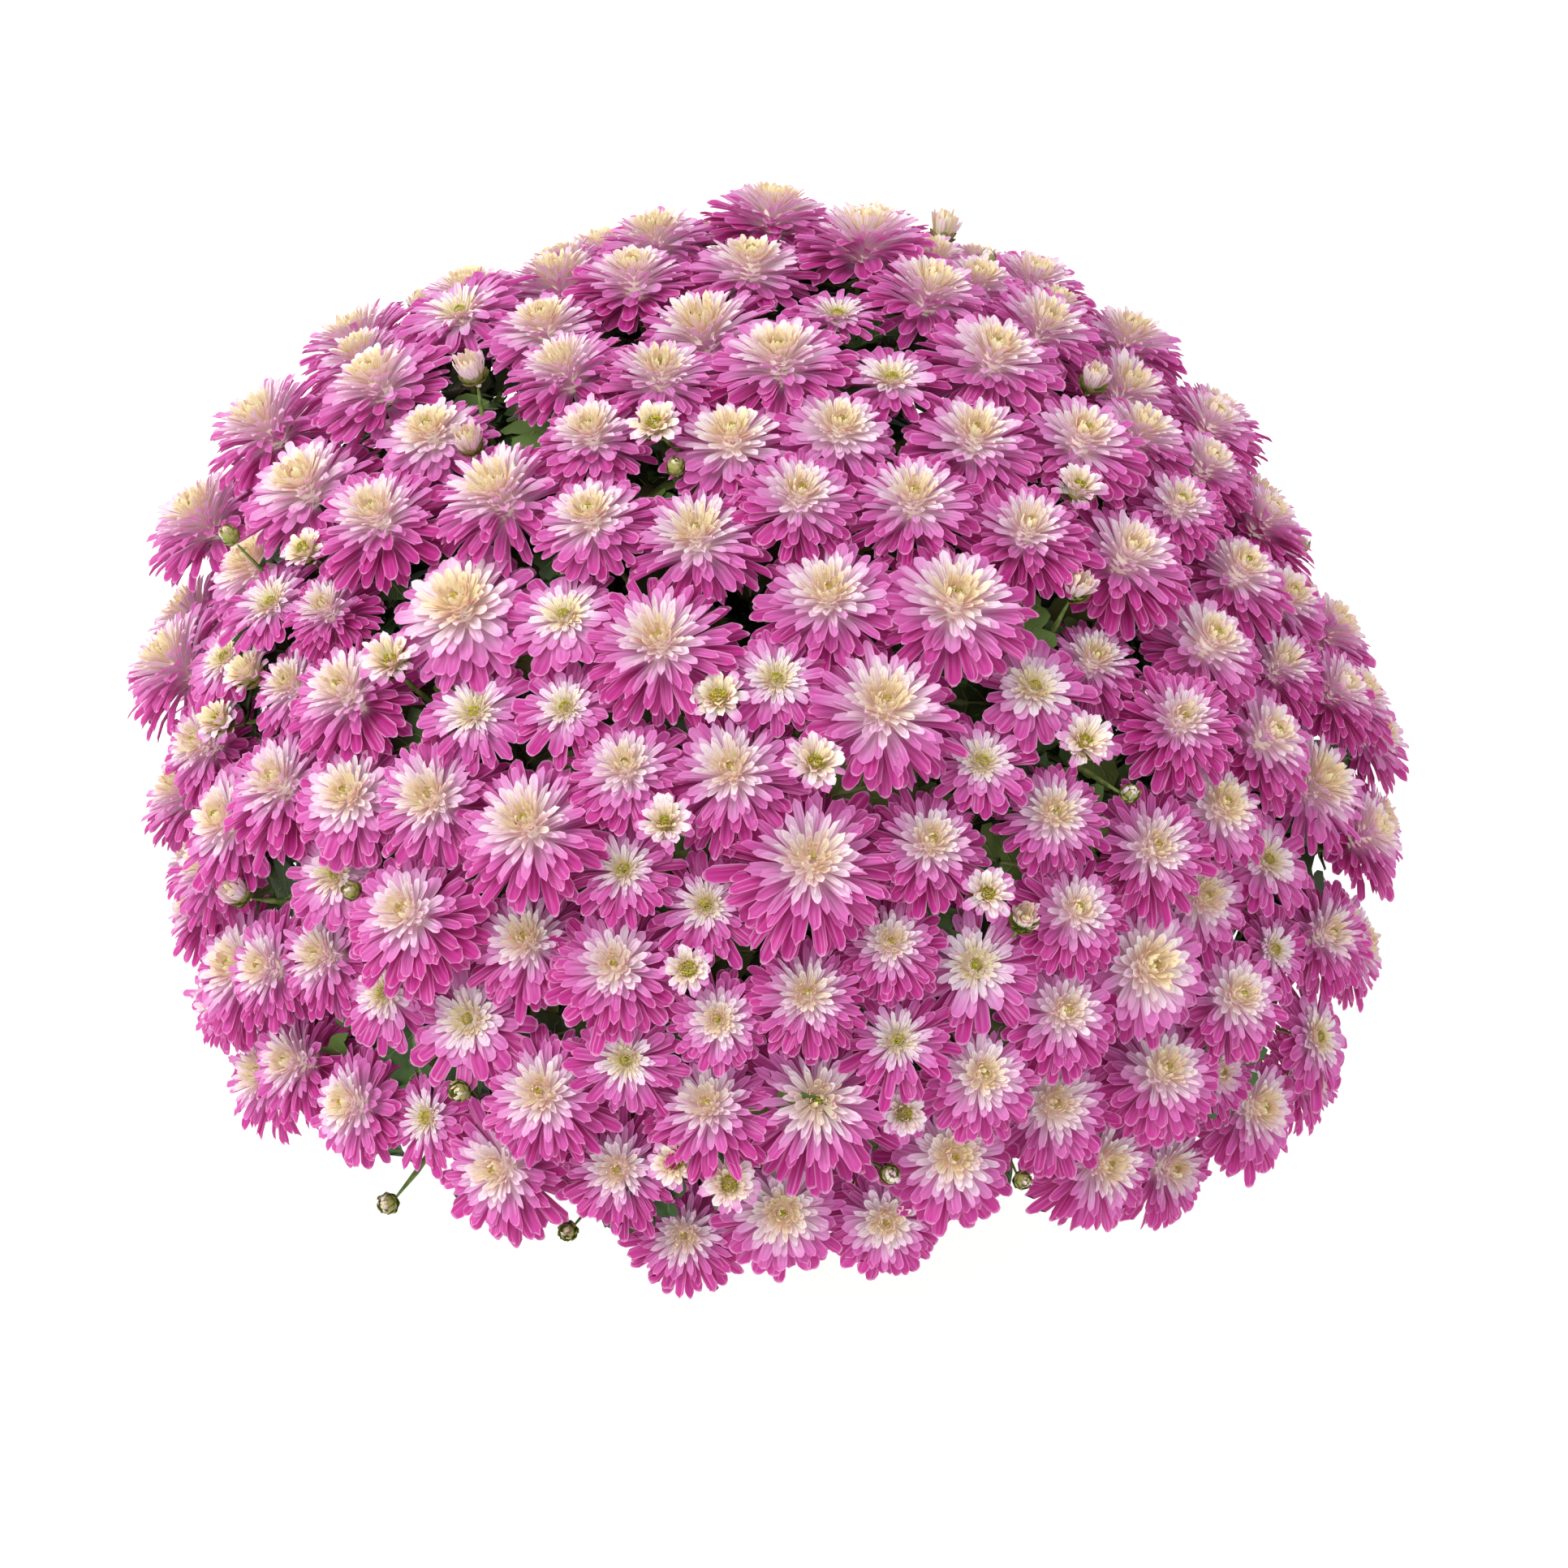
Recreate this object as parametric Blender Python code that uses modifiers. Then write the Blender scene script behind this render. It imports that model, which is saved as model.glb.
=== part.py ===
# Pot chrysanthemum: a domed cushion of double blooms on leafy stems in a plain pot.
# Metres, +Z up, the pot's base centre at the origin, the photographed side toward -Y.
import math

import bmesh
import bpy
import numpy as np
from mathutils import Matrix, Vector

for old in list(bpy.data.objects):
    bpy.data.objects.remove(old, do_unlink=True)

# Pot and soil.
POT_TOP_R = 0.090
POT_BASE_R = 0.065
POT_HEIGHT = 0.125
POT_WALL = 0.0045
POT_FLOOR = 0.006
RIM_BAND = 0.026
RIM_STEP = 0.0045
DRAIN_R = 0.0045
SOIL_TOP = 0.112
HOLE_DEPTH = 0.030
GAP = 0.0004

# The cushion: its stems fan out from the heart, and its blooms lie on a dome round it.
HEART = np.array([0.0, 0.0, 0.150])
DOME_R = 0.2165
LOWEST = 99
FRONT_LIFT = 9
SWELLS = [(-101, 53, 0.100, 26), (140, 40, 0.035, 48), (80, 98, 0.070, 28)]
LARGE_HEADS = 232
LARGE_WIDTH = 0.0420
TILT_UP = 0.70
HEAD_HEIGHT = {"full": 0.017, "open": 0.015, "cup": 0.013, "side": 0.012, "bud": 0.0085}

# Sprays of heads, and the rooted stems that carry them.
SPRAYS = 34
STALK_LOW = 0.118
STALK_HIGH = 0.172
STALK_R = 0.0021
PEDICEL_R = 0.0010
SHOOT_R = 0.0023
STEM_R = 0.0045
ROOT_RING = 0.034
OUTER_STEMS = 6
GOLDEN = math.pi * (3 - math.sqrt(5))

# Heads that stand out on the photographed side, as azimuth from the front toward +X and angle
# from the top: the widest blooms, those that hang lowest, those with a green eye, then half-open
# cups, cups seen from the side and closed buds.
WIDEST = [(-15, 69), (4, 57), (30, 89), (-26, 58), (-26, 90), (2, 79), (36, 78), (15, 45), (-7, 9), (7, 33), (58, 41)]
HANGING = [(-8, 96), (1, 92), (11, 92), (-13, 88), (-51, 92), (-60, 98), (-68, 95), (43, 101), (52, 97), (68, 105), (60, 84), (17, 86)]
OPEN = [
    (-29, 38), (-24, 47), (-38, 52), (2, 41), (33, 46), (24, 51), (-9, 62), (-15, 60), (9, 75), (-48, 68),
    (-40, 76), (-11, 77), (-36, 90), (58, 83), (-73, 55), (-75, 61), (45, 15), (105, 8),
]
CUP = [
    (-73, 65), (-71, 49), (-69, 59), (-51, 51), (-24, 19), (-11, 53), (-8, 66), (-6, 83), (-6, 45), (-3, 87),
    (5, 50), (13, 83), (21, 63), (35, 52), (60, 33),
]
SIDE = [(-79, 28), (-68, 31), (-62, 77), (24, 67), (38, 88), (46, 40), (88, 31)]
BUD = [(-80, 53), (-44, 69), (-38, 101), (-29, 82), (-22, 22), (-19, 97), (12, 88), (23, 90), (39, 60)]


def unit(v):
    return v / np.linalg.norm(v)


def toward(az, polar):
    a, p = math.radians(az), math.radians(polar)
    return np.array([math.sin(p) * math.sin(a), -math.sin(p) * math.cos(a), math.cos(p)])


def place_heads():
    """Crown, facing, width and kind of every head: the listed ones, then a packed spiral."""
    rng = np.random.RandomState(417)
    kinds, dirs, widths = [], [], []
    for rows, kind, width in (
        (WIDEST, "full", 0.0515), (HANGING, "full", 0.041), (OPEN, "open", 0.039), (CUP, "cup", 0.0155),
        (SIDE, "side", 0.0125), (BUD, "bud", 0.0085),
    ):
        for az, polar in rows:
            dirs.append(toward(az, polar))
            kinds.append(kind)
            widths.append(width * rng.uniform(0.88, 1.08))
    fixed = len(dirs)
    low = math.cos(math.radians(LOWEST))
    # Behind, some young heads between the blooms.
    for i in range(15):
        dirs.append(toward(rng.uniform(100, 260), rng.uniform(20, 96)))
        kinds.append(("cup", "bud", "side")[i % 3])
        widths.append((0.0150, 0.0085, 0.0125)[i % 3])
    free = LARGE_HEADS - len(WIDEST) - len(HANGING) - len(OPEN)
    for i in range(LARGE_HEADS):
        z = 1 - (i + 0.5) / LARGE_HEADS * (1 - low)
        d = toward(math.degrees(i * GOLDEN), math.degrees(math.acos(z)))
        taken = max(d @ dirs[n] for n in range(fixed) if kinds[n] in ("full", "open"))
        if taken < math.cos(0.095) and free > 0:
            free -= 1
            dirs.append(unit(d + rng.normal(0, 0.035, 3)))
            kinds.append("open" if rng.rand() < 0.05 else "full")
            widths.append(float(np.clip(rng.normal(LARGE_WIDTH, 0.0050), 0.031, 0.050)))
    dirs, widths = np.array(dirs), np.array(widths)
    # Spread: neighbours closer than their widths allow push each other over the dome.
    limit = LOWEST - FRONT_LIFT * np.clip(-dirs[:, 1], 0, 1) + np.clip(rng.normal(0, 2.6, len(dirs)), -4, 4.5)
    floor = np.cos(np.radians(limit))
    reach = (widths[:, None] + widths[None]) * 0.5 * 0.90 / DOME_R
    for step in range(120):
        diff = dirs[:, None] - dirs[None]
        gap = np.linalg.norm(diff, axis=2) + np.eye(len(dirs))
        close = (gap < reach) & ~np.eye(len(dirs), dtype=bool)
        push = (diff / gap[..., None] * np.where(close, reach - gap, 0)[..., None]).sum(axis=1)
        dirs[fixed:] += 0.30 * push[fixed:]
        dirs[:fixed] += 0.02 * push[:fixed]
        dirs[fixed:, 2] = np.maximum(dirs[fixed:, 2], floor[fixed:])
        dirs /= np.linalg.norm(dirs, axis=1)[:, None]
    radius = np.full(len(dirs), DOME_R)
    for az, polar, swell, spread in SWELLS:
        bump = np.arccos(np.clip(dirs @ toward(az, polar), -1, 1)) / math.radians(spread)
        radius += DOME_R * swell * np.exp(-bump ** 2)
    small = np.array([k in ("cup", "side", "bud") for k in kinds])
    radius += np.where(small, 0.004, 0) + rng.normal(0, 0.0025, len(kinds))
    radius -= np.where(~small & (rng.rand(len(kinds)) < 0.10) & (np.arange(len(kinds)) >= fixed), 0.009, 0)
    facing = dirs + np.array([0, 0, TILT_UP]) + rng.normal(0, 0.110, dirs.shape)
    facing /= np.linalg.norm(facing, axis=1)[:, None]
    return HEART + dirs * radius[:, None], facing, widths, kinds


# Modelling helpers.
model = bpy.data.collections.new("pot_chrysanthemum")
bpy.context.scene.collection.children.link(model)
stand = bpy.data.objects.new("pot_chrysanthemum", None)
model.objects.link(stand)


def keep(bm, name, group=model):
    bmesh.ops.triangulate(bm, faces=[f for f in bm.faces if len(f.verts) > 3])
    bmesh.ops.recalc_face_normals(bm, faces=bm.faces)
    mesh = bpy.data.meshes.new(name)
    bm.to_mesh(mesh)
    bm.free()
    obj = bpy.data.objects.new(name, mesh)
    group.objects.link(obj)
    return obj


def apply(obj):
    bpy.context.view_layer.update()
    graph = bpy.context.evaluated_depsgraph_get()
    mesh = bpy.data.meshes.new_from_object(obj.evaluated_get(graph))
    obj.modifiers.clear()
    obj.data = mesh


def along(start, end):
    """Matrix that lays the Z axis from start to end, centred between them."""
    run = Vector(end) - Vector(start)
    return Matrix.Translation((Vector(start) + Vector(end)) / 2) @ run.to_track_quat("Z", "Y").to_matrix().to_4x4(), run.length


def stick(start, end, r1, r2, sides, group):
    bm = bmesh.new()
    place, length = along(start, end)
    bmesh.ops.create_cone(bm, cap_ends=True, segments=sides, radius1=r1, radius2=r2, depth=length, matrix=place)
    return keep(bm, "stick", group)


def fuse(name, group, origin):
    """One solid of all the pieces in a group, by one Boolean union, with its origin at a point."""
    pieces = list(group.objects)
    first = pieces[0]
    group.objects.unlink(first)
    model.objects.link(first)
    mod = first.modifiers.new("fuse", "BOOLEAN")
    mod.operation = "UNION"
    mod.operand_type = "COLLECTION"
    mod.collection = group
    mod.solver = "MANIFOLD"
    apply(first)
    for piece in pieces[1:]:
        bpy.data.objects.remove(piece, do_unlink=True)
    bpy.data.collections.remove(group)
    first.name = first.data.name = name
    first.data.transform(Matrix.Translation(-Vector(origin)))
    first.location = origin
    first.parent = stand


def turned(name, profile, steps, holes, hole_r, bottom, top):
    """Screw solid of a profile that runs up inside and down outside, with round holes cut."""
    mesh = bpy.data.meshes.new(name)
    mesh.from_pydata([(r, 0, z) for r, z in profile], [(i, i + 1) for i in range(len(profile) - 1)], [])
    obj = bpy.data.objects.new(name, mesh)
    model.objects.link(obj)
    screw = obj.modifiers.new("turn", "SCREW")
    screw.steps = screw.render_steps = steps
    screw.use_merge_vertices = True
    screw.merge_threshold = 0.00001
    cutters = bpy.data.collections.new(name + "_cutters")
    bpy.context.scene.collection.children.link(cutters)
    for x, y in holes:
        cutter = stick((x, y, bottom), (x, y, top), hole_r, hole_r, 8, cutters)
        cutter.hide_render = True
        cutter.display_type = "WIRE"
    drill = obj.modifiers.new("drill", "BOOLEAN")
    drill.operation = "DIFFERENCE"
    drill.operand_type = "COLLECTION"
    drill.collection = cutters
    apply(obj)
    for cutter in list(cutters.objects):
        bpy.data.objects.remove(cutter, do_unlink=True)
    bpy.data.collections.remove(cutters)
    obj.data.shade_smooth()
    obj.data.set_sharp_from_angle(angle=math.radians(35))
    obj.parent = stand


# Pot: a thin wall with a rim band, on a flat base with drainage holes.
mouth = POT_TOP_R - RIM_STEP - POT_WALL
well = POT_BASE_R - POT_WALL
turned(
    "pot",
    [
        (0, POT_FLOOR), (well, POT_FLOOR), (mouth, POT_HEIGHT - 0.003), (mouth + 0.0015, POT_HEIGHT),
        (POT_TOP_R - 0.0015, POT_HEIGHT), (POT_TOP_R, POT_HEIGHT - 0.002),
        (POT_TOP_R - 0.0012, POT_HEIGHT - RIM_BAND), (POT_TOP_R - RIM_STEP - 0.0026, POT_HEIGHT - RIM_BAND - 0.0006),
        (POT_BASE_R, 0.0015), (POT_BASE_R - 0.0015, 0), (0, 0),
    ],
    32,
    [(0.034 * math.cos(i * math.pi / 3), 0.034 * math.sin(i * math.pi / 3)) for i in range(6)],
    DRAIN_R, -0.004, POT_FLOOR + 0.004,
)


def inside(z):
    return well + (mouth - well) * (z - POT_FLOOR) / (POT_HEIGHT - 0.003 - POT_FLOOR) - 0.0006


# Soil: it fills the pot to a low mound, with a plain hole for each rooted stem.
roots = np.array([[0, 0, 1.0]] + [toward(360 / OUTER_STEMS * i + 10, 72) for i in range(OUTER_STEMS)])
holes = [(0.0, 0.0)] + [tuple(ROOT_RING * unit(r[:2])) for r in roots[1:]]
turned(
    "soil",
    [
        (0, SOIL_TOP + 0.003), (0.048, SOIL_TOP + 0.0015), (inside(SOIL_TOP - 0.003), SOIL_TOP - 0.003),
        (inside(POT_FLOOR + GAP), POT_FLOOR + GAP), (0, POT_FLOOR + GAP),
    ],
    16, holes, STEM_R * 1.24, SOIL_TOP - HOLE_DEPTH, SOIL_TOP + 0.02,
)

# Layout: heads go to the nearest spray, sprays to the nearest rooted stem. Each spray keeps to
# its own cone of directions from the heart, so no two cross.
crown, facing, width, kind = place_heads()
count = len(kind)
height = np.array([HEAD_HEIGHT[k] for k in kind])
base = crown - facing * height[:, None]
middle = crown - facing * height[:, None] * 0.5
bearing = (base - HEART) / np.linalg.norm(base - HEART, axis=1)[:, None]
sprays = np.array([
    toward(math.degrees(i * GOLDEN) + 20, math.degrees(math.acos(1 - (i + 0.5) / SPRAYS * 1.225))) for i in range(SPRAYS)
])
for step in range(8):
    owner = np.argmax(bearing @ sprays.T, axis=1)
    for s in range(SPRAYS):
        sprays[s] = unit(bearing[owner == s].sum(axis=0))
owner = np.argmax(bearing @ sprays.T, axis=1)
foot = np.zeros((count, 3))
for s in range(SPRAYS):
    mine = np.nonzero(owner == s)[0]
    mine = mine[np.argsort(bearing[mine] @ sprays[s])]
    for n, i in enumerate(mine):
        foot[i] = HEART + sprays[s] * (STALK_LOW + 0.004 + (STALK_HIGH - STALK_LOW - 0.005) * (n + 0.3) / len(mine))


def clearances(i):
    """Planes that part head i from the other heads and from their pedicels."""
    planes = []
    for j in range(count):
        step = middle[j] - middle[i]
        gap = np.linalg.norm(step)
        if j == i or gap > 0.085:
            continue
        planes.append((step / gap, gap * width[i] / (width[i] + width[j]) - 0.00025))
        seg = foot[j] - base[j]
        t = np.clip((middle[i] - base[j]) @ seg / (seg @ seg), 0, 1)
        step = base[j] + t * seg - middle[i]
        gap = np.linalg.norm(step)
        planes.append((step / gap, gap - 0.0024))
    return planes


def head(i, turn, group):
    """A head raised from a sphere: two staggered rings of petals, or a cup, or a bud."""
    half = width[i] / 2
    if kind[i] in ("full", "open"):
        petals = 5 if width[i] > 0.0505 else 4 if width[i] > 0.0400 else 3
        inner, outer = (0.58, 0.44), (1.0, 0.84)
        rise, fall = ((0, -0.0042), (-0.0085, -0.0095)) if kind[i] == "full" else ((-0.001, -0.0038), (-0.0050, -0.0075))
        eye = -0.0030
    elif kind[i] == "bud":
        petals, inner, outer, eye = 3, (0.72, 0.72), (0.96, 0.96), 0.0
        rise, fall = (-0.16 * height[i],) * 2, (-0.62 * height[i],) * 2
    else:
        petals, inner, outer, eye = 3, (0.86, 0.70), (0.98, 0.98), -0.0022
        rise, fall = (0.0, -0.0020), (-0.62 * height[i],) * 2
    side = unit(np.cross(facing[i], [0.31, -0.22, 0.92] if abs(facing[i][2]) < 0.9 else [1.0, 0.2, 0.0]))
    other = np.cross(facing[i], side)
    planes = clearances(i)
    bm = bmesh.new()
    bmesh.ops.create_uvsphere(bm, u_segments=2 * petals, v_segments=3, radius=1.0)
    rim = []
    for v in list(bm.verts):
        bend = math.atan2(v.co.x, v.co.y)
        step = round(bend / (math.pi / petals)) % 2
        if v.co.z < -0.9:
            bm.verts.remove(v)
            continue
        if v.co.z > 0.9:
            r, z = 0.0, eye
        elif v.co.z > 0:
            r, z = half * inner[step], rise[step]
        else:
            r, z = half * outer[1 - step], fall[1 - step]
            rim.append((bend, v))
        a = bend + turn
        p = crown[i] + facing[i] * z + r * (math.cos(a) * side + math.sin(a) * other)
        ray = p - middle[i]
        fit = min([1.0] + [room / (ray @ n) for n, room in planes if ray @ n > room])
        v.co = middle[i] + ray * fit
    # The underside is lofted from the petals' ring to a three-sided pedicel, down to its foot.
    rim = [v for _, v in sorted(rim, key=lambda pair: pair[0])]
    down = unit(foot[i] - base[i])
    rings = []
    for where, axis, r in ((base[i], facing[i], 0.0019), (foot[i], -down, PEDICEL_R)):
        one = unit(side - axis * (side @ axis))
        two = np.cross(axis, one)
        angles = [turn - math.pi + 2 * math.pi * (n + 0.5) / 3 for n in range(3)]
        rings.append([bm.verts.new(where + r * (math.cos(a) * one + math.sin(a) * two)) for a in angles])
    for n in range(2 * petals):
        here, there = 3 * n // (2 * petals), 3 * (n + 1) // (2 * petals)
        bm.faces.new((rim[(n + 1) % (2 * petals)], rim[n], rings[0][here]))
        if there != here:
            bm.faces.new((rim[(n + 1) % (2 * petals)], rings[0][here], rings[0][there % 3]))
    for n in range(3):
        bm.faces.new((rings[0][n], rings[1][n], rings[1][n - 2], rings[0][n - 2]))
    bm.faces.new(rings[1][::-1])
    keep(bm, "head", group)


turns = np.random.RandomState(52)
for s in range(SPRAYS):
    group = bpy.data.collections.new("pieces")
    bpy.context.scene.collection.children.link(group)
    start = HEART + sprays[s] * STALK_LOW
    stick(start, HEART + sprays[s] * STALK_HIGH, STALK_R * 1.1, STALK_R * 0.95, 3, group)
    for i in np.nonzero(owner == s)[0]:
        head(i, turns.uniform(0, 2 * math.pi), group)
    fuse("spray_%02d" % (s + 1), group, start)

# Leafy stems.
grow = np.random.RandomState(88)
LEAF_SIDES = 10


def leaf(start, heading, up, length, own, group):
    """A lobed leaf raised from a flat cone, made shorter until it keeps clear of its neighbours."""
    heading = unit(heading)
    wide = unit(np.cross(up, heading))
    lift = np.cross(heading, wide)
    while length > 0.020:
        bm = bmesh.new()
        bmesh.ops.create_cone(bm, cap_ends=True, cap_tris=True, segments=LEAF_SIDES, radius1=1.0, radius2=0.0, depth=1.0)
        free = True
        for v in bm.verts:
            a = math.atan2(v.co.x, v.co.y)
            if math.hypot(v.co.x, v.co.y) < 0.01:
                x, y, z = 0.46, 0.0, math.copysign(0.0009, v.co.z)
            else:
                # Tip at angle zero, two lobes each side, a narrow foot at the stem.
                n = round(abs(a) / (2 * math.pi / LEAF_SIDES))
                x, y = ((1.0, 0.0), (0.72, 0.27), (0.52, 0.16), (0.34, 0.25), (0.20, 0.05), (-0.02, 0.0))[n]
                y, z = math.copysign(y, a), 0.0
            p = start + length * (x * heading + y * wide) + lift * (z + length * (0.12 * abs(y) - 0.20 * x * x))
            v.co = p
            if x > 0.1:
                q = p - HEART
                r, flat = np.linalg.norm(q), math.hypot(p[0], p[1])
                ceiling = STALK_LOW - 0.004 if q[2] / r > math.cos(math.radians(109)) else 0.180
                free = free and r < ceiling and (flat > POT_TOP_R + 0.004 or p[2] > POT_HEIGHT + 0.003)
                free = free and all(q @ (roots[own] - roots[k]) > 0.0007 for k in range(len(roots)) if k != own)
        if free:
            keep(bm, "leaf", group)
            return
        bm.free()
        length *= 0.92


stem_of = np.argmax(sprays @ roots.T, axis=1)
for k in range(len(roots)):
    group = bpy.data.collections.new("pieces")
    bpy.context.scene.collection.children.link(group)
    x, y = holes[k]
    below = np.array([x, y, SOIL_TOP - HOLE_DEPTH + GAP])
    ground = np.array([x, y, SOIL_TOP + 0.008])
    split = HEART + roots[k] * (0.058 if k else 0.050)
    stick(below, ground, STEM_R, STEM_R, 5, group)
    stick(ground - np.array([0, 0, 0.004]), split + unit(split - ground) * 0.002, STEM_R * 0.96, STEM_R * 0.78, 5, group)
    for s in np.nonzero(stem_of == k)[0]:
        tip = HEART + sprays[s] * (STALK_LOW - 0.0020)
        stick(split - unit(tip - split) * 0.001, tip, SHOOT_R * 1.15, SHOOT_R * 0.9, 3, group)
        for t in (0.45, 0.88) if sprays[s][2] > 0.60 else (0.80,):
            where = split + (tip - split) * t
            out = unit(where - HEART)
            spin = grow.uniform(0, 2 * math.pi)
            one = unit(np.cross(out, [0.3, -0.2, 0.9] if abs(out[2]) < 0.9 else [1, 0, 0]))
            heading = math.cos(spin) * one + math.sin(spin) * np.cross(out, one) + 0.25 * out
            leaf(where, heading, out, grow.uniform(0.040, 0.052), k, group)
    for swing in (-15, 15) if k else ():
        # The skirt: two shoots over the rim of the pot, with two leaves each.
        level = toward(360 / OUTER_STEMS * (k - 1) + 10 + swing, 90)
        over = HEART + level * 0.103 + np.array([0, 0, -0.015])
        end = HEART + level * 0.119 + np.array([0, 0, -0.045])
        stick(split - unit(over - split) * 0.001, over, SHOOT_R * 1.1, SHOOT_R, 3, group)
        stick(over - unit(end - over) * 0.001, end, SHOOT_R, SHOOT_R * 0.8, 3, group)
        beside = np.array([-level[1], level[0], 0])
        for t, swerve in ((1.0, -0.35), (0.85, 0.65)):
            heading = level * math.cos(swerve) + beside * math.sin(swerve) + np.array([0, 0, -0.45])
            where = over + (end - over) * t
            leaf(where, heading, np.array([0, 0, 1.0]) + 0.4 * level, grow.uniform(0.042, 0.052), k, group)
    fuse("leafy_stem_%d" % (k + 1), group, (x, y, SOIL_TOP))

# Materials.
LOOKS = {
    "terracotta": ((0.42, 0.17, 0.09), 0.85),
    "potting_soil": ((0.035, 0.022, 0.015), 0.95),
    "leaf_green": ((0.07, 0.16, 0.04), 0.60),
    "bloom_pink": ((0.60, 0.13, 0.38), 0.60),
}
for name, (colour, rough) in LOOKS.items():
    material = bpy.data.materials.new(name)
    material.use_nodes = True
    shader = material.node_tree.nodes["Principled BSDF"]
    shader.inputs["Base Color"].default_value = (*colour, 1)
    shader.inputs["Roughness"].default_value = rough
    shader.inputs["Metallic"].default_value = 0.0
for obj in model.objects:
    if obj.type == "MESH":
        name = {"pot": "terracotta", "soil": "potting_soil"}.get(obj.name, "bloom_pink" if "spray" in obj.name else "leaf_green")
        obj.data.materials.clear()
        obj.data.materials.append(bpy.data.materials[name])
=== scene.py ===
# Pot chrysanthemum: a domed cushion of double pink blooms over leafy stems in a terracotta pot.
# Metres, +Z up, the pot's base centre at the origin, the photographed side toward -Y.
import math

import bpy
import numpy as np
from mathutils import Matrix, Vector


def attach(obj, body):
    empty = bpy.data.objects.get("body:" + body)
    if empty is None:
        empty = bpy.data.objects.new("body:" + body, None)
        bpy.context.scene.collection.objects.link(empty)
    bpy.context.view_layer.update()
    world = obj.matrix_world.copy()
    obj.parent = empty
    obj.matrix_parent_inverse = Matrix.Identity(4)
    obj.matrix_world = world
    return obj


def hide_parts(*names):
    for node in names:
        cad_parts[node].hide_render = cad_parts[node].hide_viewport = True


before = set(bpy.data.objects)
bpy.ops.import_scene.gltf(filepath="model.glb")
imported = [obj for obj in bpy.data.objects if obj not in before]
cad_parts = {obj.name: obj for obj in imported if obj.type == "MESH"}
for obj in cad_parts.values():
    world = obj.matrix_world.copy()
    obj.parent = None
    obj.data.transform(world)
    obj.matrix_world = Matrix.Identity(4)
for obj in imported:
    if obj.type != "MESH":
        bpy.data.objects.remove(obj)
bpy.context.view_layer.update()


# Pot: a plain turned flowerpot of fired clay with a rim band. Its outside is matt and mottled,
# with pale salts that damp soil has drawn out low on the wall and under the band.
class Value:
    """A number, vector or colour in a material; sums written on numbers add its Math nodes."""

    def __init__(self, finish, socket):
        self.finish, self.socket = finish, socket

    def sum(self, operation, first, second=0.0):
        return self.finish.add("Math", {"operation": operation}, {0: first, 1: second})

    def __add__(self, other):
        return self.sum("ADD", self, other)

    def __sub__(self, other):
        return self.sum("SUBTRACT", self, other)

    def __rsub__(self, other):
        return self.sum("SUBTRACT", other, self)

    def __mul__(self, other):
        return self.sum("MULTIPLY", self, other)

    def __abs__(self):
        return self.sum("ABSOLUTE", self)

    __radd__, __rmul__ = __add__, __mul__

    def rise(self, low, high):
        """0 below low and 1 above high, with a smooth step between, or the other way round."""
        turned = low > high
        ends = {1: min(low, high), 2: max(low, high), 3: float(turned), 4: float(not turned)}
        return self.finish.add("MapRange", {"interpolation_type": "SMOOTHSTEP"}, {0: self, **ends})


class Finish:
    """A material with its Principled shader, and one method that adds any other node."""

    def __init__(self, name, constants):
        self.material = bpy.data.materials.new(name)
        self.material.use_nodes = True
        self.nodes = self.material.node_tree.nodes
        self.shader = self.nodes["Principled BSDF"]
        for socket, value in constants.items():
            self.shader.inputs[socket].default_value = value

    def feed(self, socket, value):
        if isinstance(value, Value):
            self.material.node_tree.links.new(value.socket, socket)
        elif socket.type == "RGBA" and len(value) == 3:
            socket.default_value = (*value, 1.0)
        else:
            socket.default_value = value

    def add(self, kind, settings, inputs, output=0):
        node = self.nodes.new("ShaderNode" + kind)
        for name, value in settings.items():
            if name == "stops":
                while len(node.color_ramp.elements) < len(value):
                    node.color_ramp.elements.new(1.0)
                for element, (place, colour) in zip(node.color_ramp.elements, value):
                    element.position, element.color = place, (*colour, 1.0)
            else:
                setattr(node, name, value)
        for name, value in inputs.items():
            self.feed(node.inputs[name], value)
        return Value(self, node.outputs[output])

    def mix(self, share, one, other):
        return self.add("Mix", {"data_type": "RGBA"}, {0: share, 6: one, 7: other}, 2)

    def noise(self, where, scale, detail=3.0, rough=0.55):
        inputs = {"Vector": where, "Scale": scale, "Detail": detail, "Roughness": rough}
        return self.add("TexNoise", {}, inputs)

    def own_place(self):
        """Where a point lies on its own object, in metres."""
        return self.add("TexCoord", {}, {}, 3)

    def mark(self, name):
        """The three numbers that a mesh carries at each vertex under this name."""
        split = self.nodes.new("ShaderNodeSeparateXYZ")
        self.feed(split.inputs[0], self.add("Attribute", {"attribute_name": name}, {}, 1))
        return [Value(self, split.outputs[n]) for n in range(3)]

    def wear(self, colour, roughness=None, height=None, depth=0.001, strength=1.0):
        """Sets what changes over the surface: colour, roughness and the height of its relief."""
        self.feed(self.shader.inputs["Base Color"], colour)
        if roughness is not None:
            self.feed(self.shader.inputs["Roughness"], roughness)
        if height is not None:
            bump = self.add("Bump", {}, {"Strength": strength, "Distance": depth, "Height": height})
            self.feed(self.shader.inputs["Normal"], bump)


def tint(red, green, blue):
    """A colour as seen on a screen, 0 to 255, in the shader's own measure."""
    shares = (red / 255, green / 255, blue / 255)
    return tuple(c / 12.92 if c <= 10 / 255 else ((c + 0.055) / 1.055) ** 2.4 for c in shares)


def dress(node, finish):
    """Puts a finish on a CAD node that stays as it is."""
    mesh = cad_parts[node].data
    mesh.materials.clear()
    mesh.materials.append(finish.material)


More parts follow.
